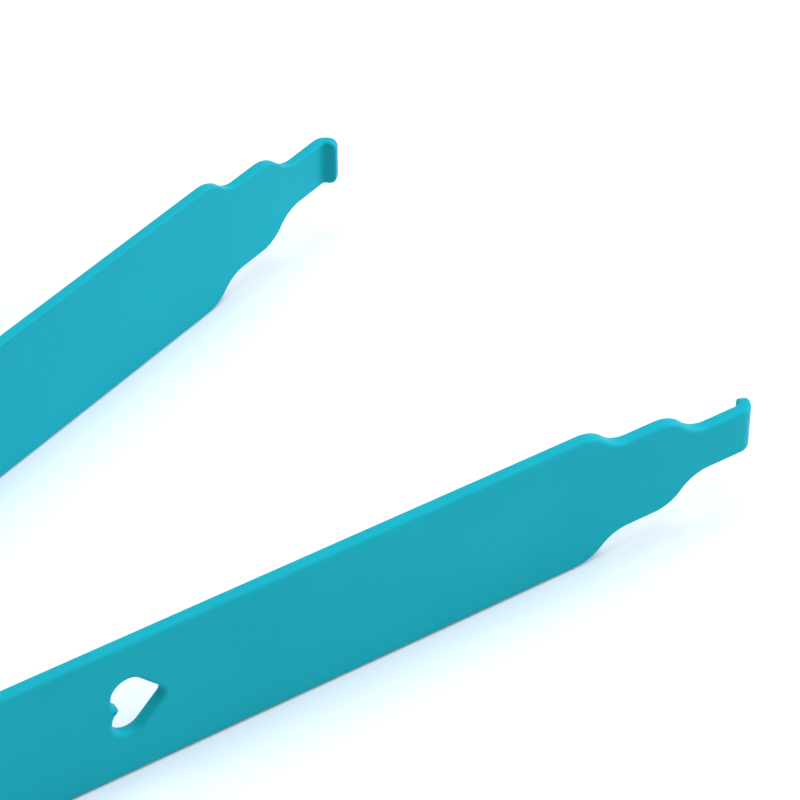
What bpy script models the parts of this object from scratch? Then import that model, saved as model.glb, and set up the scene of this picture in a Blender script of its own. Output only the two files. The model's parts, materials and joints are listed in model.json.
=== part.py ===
"""Hook-tipped spring puller: two steel blades, mirror images, riveted to a spacer.

The tool lies along X with the hooks at +X and stands on its lower edges at z = 0.
Each blade is one stamping, bent the other way for the other side. It flexes just ahead of
the riveted heel, so its front part is a separate body that swings about a vertical line in
the flexing stretch, and its rear part stays with the rivets.
"""
import math

import bpy
import bmesh

MM = 0.001
MERGE_DISTANCE = MM / 1000

# Strip that both blades are stamped from
STRIP_WIDTH = 10.0 * MM
STRIP_THICKNESS = 0.8 * MM
WAIST_WIDTH = 6.9 * MM
TIP_WIDTH = 3.4 * MM

# Blade, measured along the strip
TAIL_LENGTH = 14.0 * MM
ARM_LENGTH = 106.7 * MM
SPREAD = math.radians(9.8)
SPREAD_RADIUS = 4.0 * MM
TAIL_CORNER = 3.5 * MM
TIP_CORNER = 0.55 * MM
FLEX_SHARE = 0.15

# The two shoulders, as distances back from the hook's outer corner
FIRST_STEP_REAR = 13.0 * MM
FIRST_STEP_FRONT = 9.3 * MM
SECOND_STEP_REAR = 7.2 * MM
SECOND_STEP_FRONT = 3.2 * MM

# Hook at the tip
HOOK_BEND = math.radians(65)
HOOK_INNER_RADIUS = 0.25 * MM
HOOK_FLAT = 0.7 * MM

# Heart-shaped window, its point towards the tip, a little above the strip's middle
HEART_LOBE_RADIUS = 1.1 * MM
HEART_LOBE_OFFSET = 0.95 * MM
HEART_LOBES_TO_POINT = 2.5 * MM
HEART_POINT_RADIUS = 0.6 * MM
HEART_NOTCH_RADIUS = 0.15 * MM
HEART_LOBES_TO_HOOK = 44.3 * MM
HEART_RISE = 0.23 * MM

# Heel joint
SPACER_THICKNESS = 1.6 * MM
RIVET_RADIUS = 1.2 * MM
RIVET_HEAD_RADIUS = 2.1 * MM
RIVET_HEAD_HEIGHT = 0.7 * MM
RIVET_TO_BEND = (4.0 * MM, 10.0 * MM)

# Clearance left between pieces that touch on the real tool
GAP = 0.3 * MM
ARC_STEP = math.radians(12)
STEP_POINTS = 10
HOLE_POINTS = 32
DOME_STEPS = 5

# How far the unbent strip and its trimming outline reach past the blade before the cut
STRIP_OVERSIZE = 2 * STRIP_WIDTH
TRIM_DEPTH = 3 * STRIP_WIDTH
TRIM_MARGIN = 0.04 * MM

HALF_T = STRIP_THICKNESS / 2
FLEX_FROM_BEND = FLEX_SHARE * ARM_LENGTH
REACH = ARM_LENGTH - FLEX_FROM_BEND
BEND_Y = (SPACER_THICKNESS + STRIP_THICKNESS) / 2


def clear_scene():
    for obj in list(bpy.data.objects):
        bpy.data.objects.remove(obj)


def collection(name):
    made = bpy.data.collections.new(name)
    bpy.context.scene.collection.children.link(made)
    return made


def material(name, colour, roughness, metallic):
    made = bpy.data.materials.new(name)
    made.use_nodes = True
    shader = made.node_tree.nodes["Principled BSDF"]
    shader.inputs["Base Color"].default_value = (*colour, 1.0)
    shader.inputs["Roughness"].default_value = roughness
    shader.inputs["Metallic"].default_value = metallic
    return made


# Outlines, each a list of (x, y) points

def arc(centre, radius, start, end):
    count = max(2, math.ceil(abs(end - start) / ARC_STEP))
    angles = [start + (end - start) * i / count for i in range(count + 1)]
    return [
        (centre[0] + radius * math.cos(a), centre[1] + radius * math.sin(a))
        for a in angles
    ]


def circle(centre, radius):
    return [
        (
            centre[0] + radius * math.cos(2 * math.pi * i / HOLE_POINTS),
            centre[1] + radius * math.sin(2 * math.pi * i / HOLE_POINTS),
        )
        for i in range(HOLE_POINTS)
    ]


def shoulder(rear, front, rear_half, front_half):
    """Upper edge of a step in width: a convex arc, then an equal concave one."""
    run = front - rear
    drop = rear_half - front_half
    turn = 2 * math.atan2(drop, run)
    radius = run / (2 * math.sin(turn))
    points = []
    for i in range(STEP_POINTS + 1):
        x = run * i / STEP_POINTS
        if x <= run / 2:
            fall = radius - math.sqrt(radius**2 - x**2)
        else:
            fall = drop - radius + math.sqrt(radius**2 - (run - x) ** 2)
        points.append((rear + x, rear_half - fall))
    return points


def mirrored(upper):
    """Closes an upper edge with its mirror image below the centre line."""
    return upper + [(x, -y) for x, y in reversed(upper)]


def bent_towards(outline, sign):
    """A blade's section for the left side (1), or its mirror image for the right (-1)."""
    return [(x, sign * y) for x, y in outline]


def heart(lobes_x):
    """Heart with its two lobes centred at lobes_x and a rounded point towards +X."""
    reach = math.hypot(HEART_LOBES_TO_POINT, HEART_LOBE_OFFSET)
    lean = math.atan2(HEART_LOBE_OFFSET, HEART_LOBES_TO_POINT)
    flank = math.acos(HEART_LOBE_RADIUS / reach) - lean
    to_notch = HEART_LOBE_RADIUS + HEART_NOTCH_RADIUS
    notch = math.asin(HEART_LOBE_OFFSET / to_notch)
    point_x = lobes_x + HEART_LOBES_TO_POINT - HEART_POINT_RADIUS / math.cos(flank)
    notch_x = lobes_x - to_notch * math.cos(notch)
    lobe = (lobes_x, HEART_LOBE_OFFSET)
    upper = [
        *arc((point_x, 0), HEART_POINT_RADIUS, 0, flank),
        *arc(lobe, HEART_LOBE_RADIUS, flank, math.pi + notch),
        *arc((notch_x, 0), HEART_NOTCH_RADIUS, notch, 0)[1:],
    ]
    outline = upper + [(x, -y) for x, y in upper[-2:0:-1]]
    return [(x, y + HEART_RISE) for x, y in outline]


def ribbon(path):
    """Outline of a strip of the blade's thickness around (x, y, heading) stations."""
    left = [
        (x - HALF_T * math.sin(a), y + HALF_T * math.cos(a)) for x, y, a in path
    ]
    right = [
        (x + HALF_T * math.sin(a), y - HALF_T * math.cos(a)) for x, y, a in path
    ]
    return left + right[::-1]


def bend(start, heading, radius, turn):
    """Stations round a bend. A positive turn goes to the left."""
    count = max(2, math.ceil(abs(turn) / ARC_STEP))
    side = math.copysign(1, turn)
    cx = start[0] - side * radius * math.sin(heading)
    cy = start[1] + side * radius * math.cos(heading)
    stations = []
    for i in range(count + 1):
        a = heading + turn * i / count
        stations.append(
            (cx + side * radius * math.sin(a), cy - side * radius * math.cos(a), a)
        )
    return stations


def straight_on(station, length):
    x, y, a = station
    return (x + length * math.cos(a), y + length * math.sin(a), a)


# Blade sections seen from above: X along the blade, Y away from the other blade

def arm_side():
    """From the flexing line to the end of the hook, which turns inwards."""
    outer_radius = HOOK_INNER_RADIUS + STRIP_THICKNESS
    bend_start = REACH - outer_radius * math.tan(HOOK_BEND / 2)
    hook = bend((bend_start, 0), 0, HOOK_INNER_RADIUS + HALF_T, -HOOK_BEND)
    return ribbon([(GAP / 2, 0, 0), *hook, straight_on(hook[-1], HOOK_FLAT)])


def heel_side():
    """From the tail's end to the flexing line, round the bend that spreads the arms."""
    tangent = SPREAD_RADIUS * math.tan(SPREAD / 2)
    turn = bend((-tangent, BEND_Y), 0, SPREAD_RADIUS, SPREAD)
    end = straight_on(turn[-1], FLEX_FROM_BEND - tangent - GAP / 2)
    return ribbon([(-TAIL_LENGTH, BEND_Y, 0), *turn, end])


# Blade sections seen face on: X along the blade, Y across the strip

def arm_face():
    """Full width to the first shoulder, then the waist, the tip and its round corners."""
    tip_x = max(x for x, _ in arm_side()) + TRIM_MARGIN
    full, waist, tip = STRIP_WIDTH / 2, WAIST_WIDTH / 2, TIP_WIDTH / 2
    upper = [
        (-TRIM_MARGIN, full),
        *shoulder(REACH - FIRST_STEP_REAR, REACH - FIRST_STEP_FRONT, full, waist),
        *shoulder(REACH - SECOND_STEP_REAR, REACH - SECOND_STEP_FRONT, waist, tip),
        *arc((tip_x - TIP_CORNER, tip - TIP_CORNER), TIP_CORNER, math.pi / 2, 0),
    ]
    return mirrored(upper)


def tail_face(front_x):
    """Full-width strip with a rounded rear end, up to front_x."""
    half = STRIP_WIDTH / 2
    centre = (TAIL_CORNER - TAIL_LENGTH, half - TAIL_CORNER)
    rounded = arc(centre, TAIL_CORNER, math.pi, math.pi / 2)
    return mirrored([*rounded, (front_x, half)])


def rivet_holes(radius):
    return [circle((-x, 0), radius) for x in RIVET_TO_BEND]


# Meshes

def prism(name, outlines, half_depth):
    """Mesh of a 2D curve's filled outlines, extruded both ways along Z."""
    curve = bpy.data.curves.new(name, "CURVE")
    curve.dimensions = "2D"
    curve.fill_mode = "BOTH"
    curve.extrude = half_depth
    for outline in outlines:
        spline = curve.splines.new("POLY")
        spline.points.add(len(outline) - 1)
        for point, (x, y) in zip(spline.points, outline):
            point.co = (x, y, 0, 1)
        spline.use_cyclic_u = True
    source = bpy.data.objects.new(name, curve)
    bpy.context.scene.collection.objects.link(source)
    depsgraph = bpy.context.evaluated_depsgraph_get()
    mesh = bpy.data.meshes.new_from_object(source.evaluated_get(depsgraph))
    bpy.data.objects.remove(source)
    body = bmesh.new()
    body.from_mesh(mesh)
    bmesh.ops.remove_doubles(body, verts=body.verts, dist=MERGE_DISTANCE)
    bmesh.ops.recalc_face_normals(body, faces=body.faces)
    body.to_mesh(mesh)
    body.free()
    return mesh


def placed(name, mesh, group, location, rotation=(0, 0, 0)):
    obj = bpy.data.objects.new(name, mesh)
    obj.location = location
    obj.rotation_euler = rotation
    group.objects.link(obj)
    return obj


def trimmed(strip, trim_mesh, cutters):
    """Cuts a bent strip to its face outline with a cutter that lies across it."""
    yaw = strip.rotation_euler.z
    name = strip.name + "_trim"
    cutter = placed(name, trim_mesh, cutters, strip.location, (math.pi / 2, 0, yaw))
    cutter.hide_render = True
    cutter.display_type = "WIRE"
    cut = strip.modifiers.new("trim", "BOOLEAN")
    cut.operation = "INTERSECT"
    cut.solver = "EXACT"
    cut.object = cutter


def add_blades(parts, cutters, coating, bend_x):
    """Two heels and two arms, the right-hand pair mirroring the left-hand one."""
    centre_z = STRIP_WIDTH / 2
    window = heart(REACH - HEART_LOBES_TO_HOOK)
    holes = rivet_holes(RIVET_RADIUS + GAP)
    heel_trim = prism("heel_trim", [tail_face(ARM_LENGTH), *holes], TRIM_DEPTH)
    arm_trim = prism("arm_trim", [arm_face(), window], TRIM_DEPTH)
    flex_x = bend_x + FLEX_FROM_BEND * math.cos(SPREAD)
    flex_y = BEND_Y + FLEX_FROM_BEND * math.sin(SPREAD)
    for side, sign in (("left", 1), ("right", -1)):
        heel_name = side + "_blade_heel"
        heel = prism(heel_name, [bent_towards(heel_side(), sign)], STRIP_OVERSIZE)
        heel.materials.append(coating)
        rear = placed(heel_name, heel, parts, (bend_x, 0, centre_z))
        trimmed(rear, heel_trim, cutters)
        arm_name = side + "_blade_arm"
        arm = prism(arm_name, [bent_towards(arm_side(), sign)], STRIP_OVERSIZE)
        arm.materials.append(coating)
        front = placed(
            arm_name,
            arm,
            parts,
            (flex_x, sign * flex_y, centre_z),
            (0, 0, sign * SPREAD),
        )
        trimmed(front, arm_trim, cutters)


def add_spacer(parts, finish, bend_x):
    outlines = [tail_face(-GAP), *rivet_holes(RIVET_RADIUS + GAP)]
    mesh = prism("spacer", outlines, SPACER_THICKNESS / 2 - GAP)
    mesh.materials.append(finish)
    placed("spacer", mesh, parts, (bend_x, 0, STRIP_WIDTH / 2), (math.pi / 2, 0, 0))


def rivet_profile():
    """Half section of a rivet, from the upper head's crown down to the lower one's."""
    seat = SPACER_THICKNESS / 2 + STRIP_THICKNESS + GAP
    sphere = (RIVET_HEAD_RADIUS**2 + RIVET_HEAD_HEIGHT**2) / (2 * RIVET_HEAD_HEIGHT)
    rim = math.asin(RIVET_HEAD_RADIUS / sphere)
    centre = seat + RIVET_HEAD_HEIGHT - sphere
    angles = [rim * i / DOME_STEPS for i in range(DOME_STEPS + 1)]
    dome = [(sphere * math.sin(a), centre + sphere * math.cos(a)) for a in angles]
    upper = [*dome, (RIVET_RADIUS, seat)]
    return upper + [(r, -z) for r, z in reversed(upper)]


def add_rivets(parts, steel, bend_x):
    profile = rivet_profile()
    mesh = bpy.data.meshes.new("rivet_profile")
    edges = [(i, i + 1) for i in range(len(profile) - 1)]
    mesh.from_pydata([(r, 0, z) for r, z in profile], edges, [])
    mesh.materials.append(steel)
    for name, back in zip(("front_rivet", "rear_rivet"), RIVET_TO_BEND):
        centre = (bend_x - back, 0, STRIP_WIDTH / 2)
        rivet = placed(name, mesh, parts, centre, (math.pi / 2, 0, 0))
        turned = rivet.modifiers.new("turned", "SCREW")
        turned.axis = "Z"
        turned.steps = turned.render_steps = HOLE_POINTS
        turned.use_merge_vertices = True
        turned.merge_threshold = MERGE_DISTANCE
        turned.use_smooth_shade = True


def bend_line_x():
    """X of the bend at the heel that puts the middle of the tool's length at x = 0."""
    tip = max(x * math.cos(SPREAD) - y * math.sin(SPREAD) for x, y in arm_side())
    front = FLEX_FROM_BEND * math.cos(SPREAD) + tip
    return (TAIL_LENGTH - front) / 2


def main():
    clear_scene()
    parts = collection("hook_tip_puller")
    cutters = collection("cutters")
    coating = material("teal_coating", (0.015, 0.37, 0.45), 0.5, 0.0)
    spacer_coating = material("spacer_coating", (0.015, 0.33, 0.40), 0.5, 0.0)
    steel = material("rivet_steel", (0.62, 0.62, 0.60), 0.35, 1.0)
    bend_x = bend_line_x()
    add_blades(parts, cutters, coating, bend_x)
    add_spacer(parts, spacer_coating, bend_x)
    add_rivets(parts, steel, bend_x)


main()
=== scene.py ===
"""Finished look of the hook-tipped spring puller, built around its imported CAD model.

Each blade is one continuous stamping here. It is made flat, with rounded edges round its
outline, window and rivet holes, and then bent at the heel and at the hook.
"""
import json
import math

import bmesh
import bpy
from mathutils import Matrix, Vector


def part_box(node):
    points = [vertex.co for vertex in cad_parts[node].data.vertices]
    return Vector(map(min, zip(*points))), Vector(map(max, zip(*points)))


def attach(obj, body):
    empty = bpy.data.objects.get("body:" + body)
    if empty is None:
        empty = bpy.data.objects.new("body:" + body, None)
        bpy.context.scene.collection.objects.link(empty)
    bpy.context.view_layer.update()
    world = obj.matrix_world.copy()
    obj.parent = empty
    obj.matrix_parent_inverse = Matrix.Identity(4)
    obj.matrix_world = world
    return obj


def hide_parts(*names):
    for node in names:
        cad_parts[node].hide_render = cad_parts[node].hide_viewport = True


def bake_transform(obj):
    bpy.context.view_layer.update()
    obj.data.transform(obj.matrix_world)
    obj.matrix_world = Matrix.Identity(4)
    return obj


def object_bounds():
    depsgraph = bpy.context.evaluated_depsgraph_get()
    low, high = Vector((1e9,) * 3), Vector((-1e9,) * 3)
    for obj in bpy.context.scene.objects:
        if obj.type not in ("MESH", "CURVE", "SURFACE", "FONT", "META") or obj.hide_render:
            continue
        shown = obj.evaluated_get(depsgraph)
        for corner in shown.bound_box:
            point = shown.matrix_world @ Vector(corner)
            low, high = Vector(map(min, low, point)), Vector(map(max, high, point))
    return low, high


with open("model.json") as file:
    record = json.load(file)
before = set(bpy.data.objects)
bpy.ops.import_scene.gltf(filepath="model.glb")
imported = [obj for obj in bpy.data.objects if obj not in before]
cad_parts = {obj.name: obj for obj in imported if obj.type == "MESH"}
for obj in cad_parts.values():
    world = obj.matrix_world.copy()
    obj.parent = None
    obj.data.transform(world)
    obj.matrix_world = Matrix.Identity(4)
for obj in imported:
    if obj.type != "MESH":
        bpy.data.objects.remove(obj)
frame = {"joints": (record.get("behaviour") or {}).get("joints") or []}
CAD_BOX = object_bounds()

MM = 0.001

# Taken from the CAD frame
HEEL_LOW, HEEL_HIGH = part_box("left_blade_heel")
SPACER_FRONT_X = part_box("spacer")[1].x
RIVET_BOXES = {name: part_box(name) for name in ("front_rivet", "rear_rivet")}
JOINTS = {joint["name"]: joint for joint in frame["joints"]}
FLEX = Vector(JOINTS["left_arm_flex"]["pos_m"])
HEEL_REAR_X = HEEL_LOW.x
STRIP_WIDTH = HEEL_HIGH.z - HEEL_LOW.z
MID_Z = (HEEL_HIGH.z + HEEL_LOW.z) / 2
TAIL_INNER_Y = HEEL_LOW.y

# Blade, as in the CAD model
THICKNESS = 0.8 * MM
SPREAD = math.radians(9.8)
SPREAD_RADIUS = 4.0 * MM
ARM_LENGTH = 106.7 * MM
WAIST_WIDTH = 6.9 * MM
TIP_WIDTH = 3.4 * MM
TAIL_CORNER = 3.5 * MM
TIP_CORNER = 0.55 * MM
HOOK_BEND = math.radians(65)
HOOK_RADIUS = 0.65 * MM
HOOK_FLAT = 0.7 * MM

# The two shoulders, as distances back from the hook: (rear, front)
FIRST_STEP = (13.0 * MM, 9.3 * MM)
SECOND_STEP = (7.2 * MM, 3.2 * MM)

# Heart-shaped window
LOBE_RADIUS = 1.1 * MM
LOBE_OFFSET = 0.95 * MM
LOBES_TO_POINT = 2.5 * MM
POINT_RADIUS = 0.6 * MM
NOTCH_RADIUS = 0.15 * MM
LOBES_TO_HOOK = 44.3 * MM
HEART_RISE = 0.23 * MM

# Edges, and a distance either side of the flexing line; make_blade finds the strip's
# points there and uses them no further
OUTER_ROUNDING = 0.28 * MM
INNER_ROUNDING = 0.14 * MM
FLEX_HALF_LENGTH = 12 * MM

# Distances along the middle of the bent strip, from the virtual corner of the heel bend
HALF_T = THICKNESS / 2
TAIL_MID_Y = TAIL_INNER_Y + HALF_T
FLEX_FROM_BEND = (FLEX.y - TAIL_MID_Y) / math.sin(SPREAD)
BEND_X = FLEX.x - FLEX_FROM_BEND * math.cos(SPREAD)
TAIL_LENGTH = BEND_X - HEEL_REAR_X

# Rivets and spacer
SEAT_GAP = 0.01 * MM
SPACER_INSET = 0.1 * MM
HOLE_CLEARANCE = 0.03 * MM
RIVET_RADIUS = 1.2 * MM
RIVET_HEAD_RADIUS = 2.1 * MM
RIVET_HEAD_HEIGHT = 0.7 * MM
RIM_HEIGHT = 0.12 * MM
RIM_BULGE = 0.02 * MM
SEAT_CHAMFER = (0.05 * MM, 0.01 * MM)
GROOVE_RADIUS = 1.25 * MM
GROOVE_WIDTH = 0.1 * MM
GROOVE_DEPTH = 0.06 * MM

# Mesh fineness
ARC_STEP = math.radians(6)
ROUNDING_STEPS = 5
SHOULDER_POINTS = 28
CROWN_STEPS = 56
TURNING_STEPS = 72
SUPPORT_WIDTH = 0.06 * MM
HEEL_CUT = 0.07 * MM
ARM_CUT = 2.0 * MM
HOOK_CUT = 0.055 * MM
CUT_TOLERANCE_MM = 1e-5
MERGE_DISTANCE = 0.0005 * MM
SHARP_ANGLE = math.radians(50)

# Colours, as linear values
TEAL = (0.008, 0.347, 0.410)
SPACER_TEAL = (0.008, 0.32, 0.38)
DRIFT_SHADE = 0.94
GRAIN_SHADE = 0.9
STEEL = (0.62, 0.62, 0.60, 1)
STAINED_STEEL = (0.42, 0.42, 0.41, 1)
DARKENED_STEEL = (0.10, 0.11, 0.11, 1)
# dark steel for the painted contact shadow at the rivet rims, also used to darken the
# groove
FLOOR_WHITE = (0.86, 0.86, 0.86, 1)

# Darker steel on a rivet's head, by distance from its axis in millimetres: round the
# groove, and as painted contact shadow at the rim
GROOVE_DARKENING = (1.10, GROOVE_RADIUS / MM, 1.40)
RIM_PAINTED_SHADOW = (1.80, 2.12)

# The share of a noise's range that carries most of its values
NOISE_LOW = 0.3
NOISE_HIGH = 0.7

# Studio. Each light: direction, distance, diameter, power and colour
FLOOR_RADIUS = 3.0
FLOOR_GAP = 0.05 * MM
OVERHEAD_SOFTBOX = ((0.05, 0.05, 1.0), 0.8, 0.9, 6.55, (0.85, 0.95, 1.13))
RIGHT_SOFTBOX = ((0.95, -0.6, 0.45), 0.5, 0.36, 1.95, (0.87, 0.95, 1.14))
WORLD_COLOUR = (1.06, 1.03, 0.87, 1)
WORLD_STRENGTH = 0.44

# View: where the camera looks, from which side and how far away
CAMERA_AIM = Vector((CAD_BOX[1].x - 14.58 * MM, -2.8 * MM, MID_Z - 0.04 * MM))
CAMERA_AZIMUTH = math.radians(-43.43)
CAMERA_ELEVATION = math.radians(39.80)
CAMERA_DISTANCE = 224.2 * MM
CAMERA_LENS = 162.1
CAMERA_SENSOR = 36.0


# Outlines, each a list of (x, y) points

def arc(centre, radius, start, end):
    count = max(2, math.ceil(abs(end - start) / ARC_STEP))
    angles = [start + (end - start) * i / count for i in range(count + 1)]
    return [
        (centre[0] + radius * math.cos(a), centre[1] + radius * math.sin(a))
        for a in angles
    ]


def shoulder(hook_x, step, rear_half, front_half):
    """Upper edge of a step in width: a convex arc, then an equal concave one."""
    rear = hook_x - step[0]
    run = step[0] - step[1]
    drop = rear_half - front_half
    radius = run / (2 * math.sin(2 * math.atan2(drop, run)))
    points = []
    for i in range(SHOULDER_POINTS + 1):
        x = run * i / SHOULDER_POINTS
        if x <= run / 2:
            fall = radius - math.sqrt(radius**2 - x**2)
        else:
            fall = drop - radius + math.sqrt(radius**2 - (run - x) ** 2)
        points.append((rear + x, rear_half - fall))
    return points


def mirrored(upper):
    """Closes an upper edge with its mirror image below the centre line."""
    return upper + [(x, -y) for x, y in reversed(upper)]


def tail_end(inset=0.0):
    """Upper half of the rounded rear end of the blades and the spacer."""
    corner = TAIL_CORNER - inset
    centre = (TAIL_CORNER - TAIL_LENGTH, STRIP_WIDTH / 2 - TAIL_CORNER)
    return arc(centre, corner, math.pi, math.pi / 2)


def blade_outline():
    """The whole flat stamping: rounded tail, two shoulders, tip with round corners."""
    full, waist, tip = STRIP_WIDTH / 2, WAIST_WIDTH / 2, TIP_WIDTH / 2
    corner = (FLAT_LENGTH - TIP_CORNER, tip - TIP_CORNER)
    return mirrored([
        *tail_end(),
        *shoulder(ARM_LENGTH, FIRST_STEP, full, waist),
        *shoulder(ARM_LENGTH, SECOND_STEP, waist, tip),
        *arc(corner, TIP_CORNER, math.pi / 2, 0),
    ])


def heart(lobes_x):
    """Heart with its two lobes centred at lobes_x and a rounded point towards +X."""
    reach = math.hypot(LOBES_TO_POINT, LOBE_OFFSET)
    lean = math.atan2(LOBE_OFFSET, LOBES_TO_POINT)
    flank = math.acos(LOBE_RADIUS / reach) - lean
    to_notch = LOBE_RADIUS + NOTCH_RADIUS
    notch = math.asin(LOBE_OFFSET / to_notch)
    point_x = lobes_x + LOBES_TO_POINT - POINT_RADIUS / math.cos(flank)
    notch_x = lobes_x - to_notch * math.cos(notch)
    upper = [
        *arc((point_x, 0), POINT_RADIUS, 0, flank),
        *arc((lobes_x, LOBE_OFFSET), LOBE_RADIUS, flank, math.pi + notch),
        *arc((notch_x, 0), NOTCH_RADIUS, notch, 0)[1:],
    ]
    outline = upper + [(x, -y) for x, y in upper[-2:0:-1]]
    return [(x, y + HEART_RISE) for x, y in outline]


def rivet_holes():
    radius = RIVET_RADIUS + HOLE_CLEARANCE
    centres = [(low.x + high.x) / 2 - BEND_X for low, high in RIVET_BOXES.values()]
    return [arc((x, 0), radius, 0, 2 * math.pi)[:-1] for x in centres]


# Plates with rounded edges

def distinct(points):
    """The outline without repeated points."""
    kept = []
    for p in points:
        if not kept or math.dist(p, kept[-1]) > MERGE_DISTANCE:
            kept.append(p)
    if math.dist(kept[0], kept[-1]) <= MERGE_DISTANCE:
        kept.pop()
    return kept


def signed_area(points):
    following = points[1:] + points[:1]
    return sum(a[0] * b[1] - b[0] * a[1] for a, b in zip(points, following)) / 2


def towards_material(points, is_hole):
    """Points with the unit normal into the plate, stretched to keep corners square."""
    points = distinct(points)
    if (signed_area(points) > 0) == is_hole:
        points.reverse()
    made = []
    for i, point in enumerate(points):
        before = Vector(point) - Vector(points[i - 1])
        after = Vector(points[(i + 1) % len(points)]) - Vector(point)
        n0 = Vector((-before.y, before.x)).normalized()
        n1 = Vector((-after.y, after.x)).normalized()
        middle = (n0 + n1).normalized()
        made.append((Vector(point), middle / max(0.5, middle.dot(n0))))
    return made


def rounded_edge(half, rounding):
    """(inset, height) of the steps from a face, half above the middle, to the edge."""
    steps = [(rounding + SUPPORT_WIDTH, half)]
    for i in range(ROUNDING_STEPS + 1):
        a = math.pi / 2 * i / ROUNDING_STEPS
        inset = rounding * (1 - math.sin(a))
        height = half - rounding * (1 - math.cos(a))
        steps.append((inset, height))
    return steps


def edge_profile(half, upper, lower):
    """Steps round an edge from the upper face to the lower one, by their roundings."""
    below = [(inset, -height) for inset, height in rounded_edge(half, lower)]
    return rounded_edge(half, upper) + below[::-1]


def add_rim(body, loop, is_hole, profile):
    """Adds the rounded edge along one outline. Returns its upper and lower edges."""
    sided = towards_material(loop, is_hole)
    rings = []
    for inset, height in profile:
        ring = []
        for point, inwards in sided:
            at = (point + inwards * inset) / MM
            ring.append(body.verts.new((at.x, at.y, height / MM)))
        rings.append(ring)
    for upper, lower in zip(rings, rings[1:]):
        for i in range(len(upper)):
            j = (i + 1) % len(upper)
            body.faces.new((upper[i], lower[i], lower[j], upper[j]))
    return [
        [body.edges.get((ring[i], ring[(i + 1) % len(ring)])) for i in range(len(ring))]
        for ring in (rings[0], rings[-1])
    ]


def face_outwards(body):
    """Turns the faces of a closed mesh outwards, by the sign of its volume."""
    bmesh.ops.recalc_face_normals(body, faces=body.faces)
    if body.calc_volume(signed=True) < 0:
        bmesh.ops.reverse_faces(body, faces=body.faces)


def add_object(name, body):
    """Turns a finished bmesh into a smooth object of the scene."""
    for face in body.faces:
        face.smooth = True
    mesh = bpy.data.meshes.new(name)
    body.to_mesh(mesh)
    body.free()
    obj = bpy.data.objects.new(name, mesh)
    bpy.context.scene.collection.objects.link(obj)
    return obj


def plate(name, outline, holes, thickness, roundings, cuts, place):
    """Closed mesh of a flat plate with rounded edges, cut across at cuts, then placed.

    It is built in millimetres, and its flat_mm attribute keeps each point's flat place.
    """
    body = bmesh.new()
    flat = body.verts.layers.float_vector.new("flat_mm")
    profile = edge_profile(thickness / 2, *roundings)
    loops = [(outline, False), *((hole, True) for hole in holes)]
    rims = [add_rim(body, loop, is_hole, profile) for loop, is_hole in loops]
    for face, up in ((0, 1), (1, -1)):
        edges = [edge for rim in rims for edge in rim[face]]
        bmesh.ops.triangle_fill(
            body, edges=edges, use_beauty=True, use_dissolve=False, normal=(0, 0, up)
        )
    for cut in cuts:
        bmesh.ops.bisect_plane(
            body,
            geom=body.verts[:] + body.edges[:] + body.faces[:],
            dist=CUT_TOLERANCE_MM,
            plane_co=(cut / MM, 0, 0),
            plane_no=(1, 0, 0),
        )
    for vert in body.verts:
        vert[flat] = vert.co
        vert.co = place(*(vert.co * MM))
    face_outwards(body)
    obj = add_object(name, body)
    weighted = obj.modifiers.new("even_faces", "WEIGHTED_NORMAL")
    weighted.weight = 100
    return obj


# The bent strip

def strip_segments():
    """(start along the strip, x, y, heading, length, curvature) of each stretch."""
    heel_tangent = SPREAD_RADIUS * math.tan(SPREAD / 2)
    hook_outer = HOOK_RADIUS + HALF_T
    hook_tangent = hook_outer * math.tan(HOOK_BEND / 2)
    arm = ARM_LENGTH - heel_tangent - hook_tangent
    stretches = (
        (TAIL_LENGTH - heel_tangent, 0.0),
        (SPREAD_RADIUS * SPREAD, 1 / SPREAD_RADIUS),
        (arm, 0.0),
        (HOOK_RADIUS * HOOK_BEND, -1 / HOOK_RADIUS),
        (HOOK_FLAT, 0.0),
    )
    s, x, y, heading = -TAIL_LENGTH, HEEL_REAR_X, TAIL_MID_Y, 0.0
    made = []
    for length, curvature in stretches:
        made.append((s, x, y, heading, length, curvature))
        x, y, heading = along(made[-1], s + length)
        s += length
    return made


def along(segment, s):
    """(x, y, heading) of the strip's middle at s."""
    start, x, y, heading, _, curvature = segment
    run = s - start
    if curvature == 0:
        return x + run * math.cos(heading), y + run * math.sin(heading), heading
    turned = heading + run * curvature
    return (
        x + (math.sin(turned) - math.sin(heading)) / curvature,
        y - (math.cos(turned) - math.cos(heading)) / curvature,
        turned,
    )


SEGMENTS = strip_segments()
FLAT_LENGTH = SEGMENTS[-1][0] + SEGMENTS[-1][4]


def on_blade(side):
    """Places a point of the flat stamping on the left (1) or right (-1) blade."""
    def place(s, across, out):
        segment = [g for g in SEGMENTS if g[0] <= s or g is SEGMENTS[0]][-1]
        x, y, heading = along(segment, s)
        x -= out * math.sin(heading)
        y += out * math.cos(heading)
        return Vector((x, side * y, MID_Z + across))
    return place


def spaced(start, end, step):
    count = max(1, round((end - start) / step))
    return [start + (end - start) * i / count for i in range(count + 1)]


def blade_cuts():
    """Crossings that let the strip bend: close in the bends, wider on the straight."""
    _, heel, arm, hook, _ = SEGMENTS
    cuts = [
        *spaced(heel[0], arm[0], HEEL_CUT),
        *spaced(arm[0], hook[0], ARM_CUT),
        *spaced(hook[0], hook[0] + hook[4], HOOK_CUT),
    ]
    return sorted(set(cuts))


def make_blade(name, side, cad_nodes, finish):
    window = heart(ARM_LENGTH - LOBES_TO_HOOK)
    place = on_blade(side)
    blade = plate(
        name,
        blade_outline(),
        [window, *rivet_holes()],
        THICKNESS,
        (OUTER_ROUNDING, INNER_ROUNDING),
        blade_cuts(),
        place,
    )
    blade.data.materials.append(finish)
    start = place(FLEX_FROM_BEND - FLEX_HALF_LENGTH, 0, 0)
    end = place(FLEX_FROM_BEND + FLEX_HALF_LENGTH, 0, 0)
    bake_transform(blade)
    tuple(start)
    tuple(end)
    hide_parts(*cad_nodes)
    return blade


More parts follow.
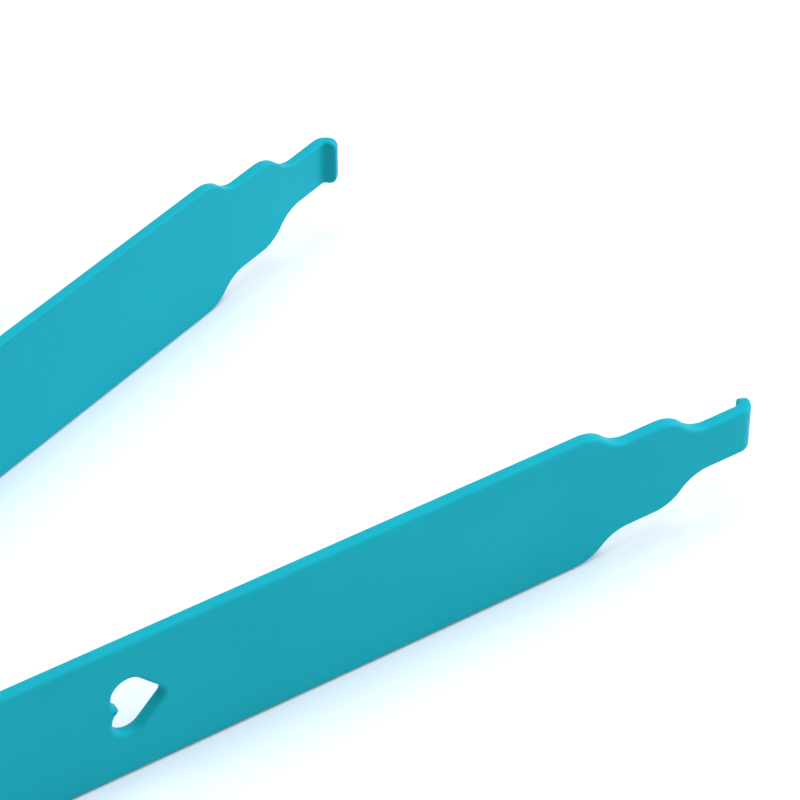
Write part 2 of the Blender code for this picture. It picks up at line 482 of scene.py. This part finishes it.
def make_spacer(finish):
    front = SPACER_FRONT_X - BEND_X
    half = STRIP_WIDTH / 2 - SPACER_INSET
    spacer = plate(
        "heel_spacer",
        mirrored([*tail_end(SPACER_INSET), (front, half)]),
        rivet_holes(),
        2 * (TAIL_INNER_Y - SEAT_GAP),
        (INNER_ROUNDING, INNER_ROUNDING),
        [],
        lambda x, across, out: Vector((BEND_X + x, out, MID_Z + across)),
    )
    spacer.data.materials.append(finish)
    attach(spacer, "root")
    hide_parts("spacer")
    return spacer


# Rivets

def rivet_crown(seat):
    """(radius, height) over the domed head, with a shallow groove pressed into it."""
    rise = RIVET_HEAD_HEIGHT - RIM_HEIGHT
    sphere = (RIVET_HEAD_RADIUS**2 + rise**2) / (2 * rise)
    lean = math.asin(RIVET_HEAD_RADIUS / sphere)
    top = seat + RIVET_HEAD_HEIGHT
    crown = []
    for i in range(CROWN_STEPS + 1):
        a = lean * i / CROWN_STEPS
        radius = sphere * math.sin(a)
        height = top - sphere * (1 - math.cos(a))
        groove = math.exp(-(((radius - GROOVE_RADIUS) / GROOVE_WIDTH) ** 2))
        crown.append((radius, height - GROOVE_DEPTH * groove))
    return crown


def rivet_profile():
    """(radius, height) from the crown to the middle of the shank."""
    seat = TAIL_INNER_Y + THICKNESS + SEAT_GAP
    chamfer_width, chamfer_height = SEAT_CHAMFER
    rim = [
        (RIVET_HEAD_RADIUS + RIM_BULGE, seat + RIM_HEIGHT * 0.7),
        (RIVET_HEAD_RADIUS + RIM_BULGE, seat + RIM_HEIGHT * 0.3),
        (RIVET_HEAD_RADIUS, seat + chamfer_height),
        (RIVET_HEAD_RADIUS - chamfer_width, seat),
    ]
    return [*rivet_crown(seat), *rim, (RIVET_RADIUS, seat), (RIVET_RADIUS, 0.0)]


def make_rivet(name, cad_node, finish):
    """Rivet turned round the Y axis. Its flat_mm attribute is measured from its centre."""
    low, high = RIVET_BOXES[cad_node]
    half = rivet_profile()
    profile = half + [(r, -h) for r, h in reversed(half[:-1])]
    body = bmesh.new()
    flat = body.verts.layers.float_vector.new("flat_mm")
    chain = [body.verts.new((r, h, 0)) for r, h in profile]
    edges = [body.edges.new(pair) for pair in zip(chain, chain[1:])]
    bmesh.ops.spin(
        body,
        geom=chain + edges,
        cent=(0, 0, 0),
        axis=(0, 1, 0),
        angle=2 * math.pi,
        steps=TURNING_STEPS,
    )
    bmesh.ops.remove_doubles(body, verts=body.verts, dist=MERGE_DISTANCE)
    face_outwards(body)
    centre = Vector(((low.x + high.x) / 2, 0, MID_Z))
    for vert in body.verts:
        vert[flat] = vert.co / MM
        vert.co += centre
    rivet = add_object(name, body)
    rivet.data.set_sharp_from_angle(angle=SHARP_ANGLE)
    rivet.data.materials.append(finish)
    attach(rivet, "root")
    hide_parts(cad_node)
    return rivet


# Materials

class Nodes:
    """Short forms for the nodes of one material."""

    def __init__(self, name):
        self.material = bpy.data.materials.new(name)
        self.material.use_nodes = True
        self.tree = self.material.node_tree
        self.shader = self.tree.nodes["Principled BSDF"]

    def add(self, kind, **settings):
        node = self.tree.nodes.new(kind)
        for key, value in settings.items():
            setattr(node, key, value)
        return node

    def link(self, output, socket):
        self.tree.links.new(output, socket)

    def connect(self, value, socket):
        """Feeds a socket from another node's output or with a plain value."""
        if isinstance(value, bpy.types.NodeSocket):
            self.link(value, socket)
        else:
            socket.default_value = value

    def flat_place(self):
        """Where a point was, in millimetres, before its piece was bent and placed."""
        node = self.add("ShaderNodeAttribute", attribute_name="flat_mm")
        return node.outputs["Vector"]

    def noise(self, vector, scale, detail):
        node = self.add("ShaderNodeTexNoise")
        node.inputs["Scale"].default_value = scale
        node.inputs["Detail"].default_value = detail
        self.link(vector, node.inputs["Vector"])
        return node.outputs["Fac"]

    def ranged(self, value, low, high, from_low=NOISE_LOW, from_high=NOISE_HIGH):
        node = self.add("ShaderNodeMapRange")
        node.inputs["From Min"].default_value = from_low
        node.inputs["From Max"].default_value = from_high
        node.inputs["To Min"].default_value = low
        node.inputs["To Max"].default_value = high
        self.link(value, node.inputs["Value"])
        return node.outputs["Result"]

    def distance_from_axis(self, vector):
        """Distance from the Y axis, which the rivets are turned round."""
        level = self.add("ShaderNodeVectorMath", operation="MULTIPLY")
        level.inputs[1].default_value = (1, 0, 1)
        self.link(vector, level.inputs[0])
        length = self.add("ShaderNodeVectorMath", operation="LENGTH")
        self.link(level.outputs["Vector"], length.inputs[0])
        return length.outputs["Value"]

    def along_x(self, value):
        node = self.add("ShaderNodeCombineXYZ")
        self.link(value, node.inputs["X"])
        return node.outputs["Vector"]

    def product(self, a, b):
        node = self.add("ShaderNodeMath", operation="MULTIPLY")
        self.link(a, node.inputs[0])
        self.link(b, node.inputs[1])
        return node.outputs["Value"]

    def mix(self, factor, a, b):
        node = self.add("ShaderNodeMix", data_type="RGBA")
        self.connect(factor, node.inputs[0])
        self.connect(a, node.inputs[6])
        self.connect(b, node.inputs[7])
        return node.outputs[2]

    def bump(self, height, distance, normal=None):
        node = self.add("ShaderNodeBump")
        node.inputs["Strength"].default_value = 1.0
        node.inputs["Distance"].default_value = distance
        self.link(height, node.inputs["Height"])
        if normal is not None:
            self.link(normal, node.inputs["Normal"])
        return node.outputs["Normal"]


def shaded(colour, shade):
    return (*(c * shade for c in colour), 1)


def coating(name, colour):
    """Smooth satin paint: faint drift in colour, a fine orange peel and a finer grain."""
    n = Nodes(name)
    flat = n.flat_place()
    drift = n.ranged(n.noise(flat, 0.12, 2.0), 0.0, 1.0)
    grain = n.ranged(n.noise(flat, 9.0, 2.0), 0.0, 0.25)
    base = n.mix(drift, (*colour, 1), shaded(colour, DRIFT_SHADE))
    base = n.mix(grain, base, shaded(colour, GRAIN_SHADE))
    n.link(base, n.shader.inputs["Base Color"])
    n.link(n.ranged(n.noise(flat, 1.3, 4.0), 0.40, 0.50), n.shader.inputs["Roughness"])
    peel = n.bump(n.noise(flat, 1.6, 2.0), 0.006 * MM)
    fine = n.bump(n.noise(flat, 14.0, 2.0), 0.0012 * MM, normal=peel)
    n.link(fine, n.shader.inputs["Normal"])
    n.shader.inputs["Specular IOR Level"].default_value = 0.04
    return n.material


def steel(name):
    """Plain steel: turned rings, small stains, darker round the groove, and painted
    contact shadow at the rim.
    """
    n = Nodes(name)
    flat = n.flat_place()
    from_axis = n.distance_from_axis(flat)
    stain = n.ranged(n.noise(flat, 0.9, 4.0), 0.0, 1.0)
    base = n.mix(stain, STEEL, STAINED_STEEL)
    # darker round the groove of the head
    inner, middle, outer = GROOVE_DARKENING
    in_groove = n.ranged(from_axis, 0.0, 0.45, inner, middle)
    past_groove = n.ranged(from_axis, 1.0, 0.0, middle, outer)
    base = n.mix(n.product(in_groove, past_groove), base, DARKENED_STEEL)
    # painted contact shadow: the head is darkened at its rim, where it meets the blade
    base = n.mix(n.ranged(from_axis, 0.0, 0.8, *RIM_PAINTED_SHADOW), base, DARKENED_STEEL)
    n.link(base, n.shader.inputs["Base Color"])
    n.shader.inputs["Metallic"].default_value = 1.0
    n.link(n.ranged(n.noise(flat, 3.0, 5.0), 0.24, 0.40), n.shader.inputs["Roughness"])
    rings = n.bump(n.noise(n.along_x(from_axis), 9.0, 3.0), 0.012 * MM)
    pits = n.bump(n.noise(flat, 5.0, 5.0), 0.004 * MM, normal=rings)
    n.link(pits, n.shader.inputs["Normal"])
    return n.material


def floor_material():
    n = Nodes("studio_floor")
    n.shader.inputs["Base Color"].default_value = FLOOR_WHITE
    n.shader.inputs["Roughness"].default_value = 0.9
    n.shader.inputs["Specular IOR Level"].default_value = 0.1
    return n.material


# Studio

def add_floor():
    mesh = bpy.data.meshes.new("floor")
    body = bmesh.new()
    bmesh.ops.create_circle(body, cap_ends=True, segments=96, radius=FLOOR_RADIUS)
    body.to_mesh(mesh)
    body.free()
    floor = bpy.data.objects.new("floor", mesh)
    floor.location.z = CAD_BOX[0].z - FLOOR_GAP
    bpy.context.scene.collection.objects.link(floor)
    mesh.materials.append(floor_material())


def add_softbox(name, direction, distance, diameter, power, colour):
    """Round area light at a distance from the camera's aim, turned towards it."""
    light = bpy.data.lights.new(name, "AREA")
    light.shape = "DISK"
    light.size = diameter
    light.energy = power
    light.color = colour
    obj = bpy.data.objects.new(name, light)
    away = Vector(direction).normalized()
    obj.location = CAMERA_AIM + away * distance
    obj.rotation_mode = "QUATERNION"
    obj.rotation_quaternion = away.to_track_quat("Z", "Y")
    bpy.context.scene.collection.objects.link(obj)


def add_world():
    world = bpy.data.worlds.new("studio")
    world.use_nodes = True
    background = world.node_tree.nodes["Background"]
    background.inputs["Color"].default_value = WORLD_COLOUR
    background.inputs["Strength"].default_value = WORLD_STRENGTH
    bpy.context.scene.world = world


def add_camera():
    data = bpy.data.cameras.new("camera")
    data.lens = CAMERA_LENS
    data.sensor_width = CAMERA_SENSOR
    data.clip_start = 10 * MM
    data.clip_end = 20.0
    camera = bpy.data.objects.new("camera", data)
    level = math.cos(CAMERA_ELEVATION)
    back = Vector((
        math.sin(CAMERA_AZIMUTH) * level,
        -math.cos(CAMERA_AZIMUTH) * level,
        math.sin(CAMERA_ELEVATION),
    ))
    camera.location = CAMERA_AIM + back * CAMERA_DISTANCE
    camera.rotation_mode = "QUATERNION"
    camera.rotation_quaternion = back.to_track_quat("Z", "Y")
    bpy.context.scene.collection.objects.link(camera)
    bpy.context.scene.camera = camera


def main():
    teal = coating("teal_coating", TEAL)
    spacer_teal = coating("spacer_coating", SPACER_TEAL)
    bare = steel("rivet_steel")
    for side, sign in (("left", 1), ("right", -1)):
        nodes = (side + "_blade_heel", side + "_blade_arm")
        make_blade(side + "_blade", sign, nodes, teal)
    make_spacer(spacer_teal)
    for name in RIVET_BOXES:
        make_rivet(name + "_seated", name, bare)
    add_floor()
    add_softbox("overhead_softbox", *OVERHEAD_SOFTBOX)
    add_softbox("right_softbox", *RIGHT_SOFTBOX)
    add_world()
    add_camera()
    bpy.context.scene.view_settings.view_transform = "Standard"


main()
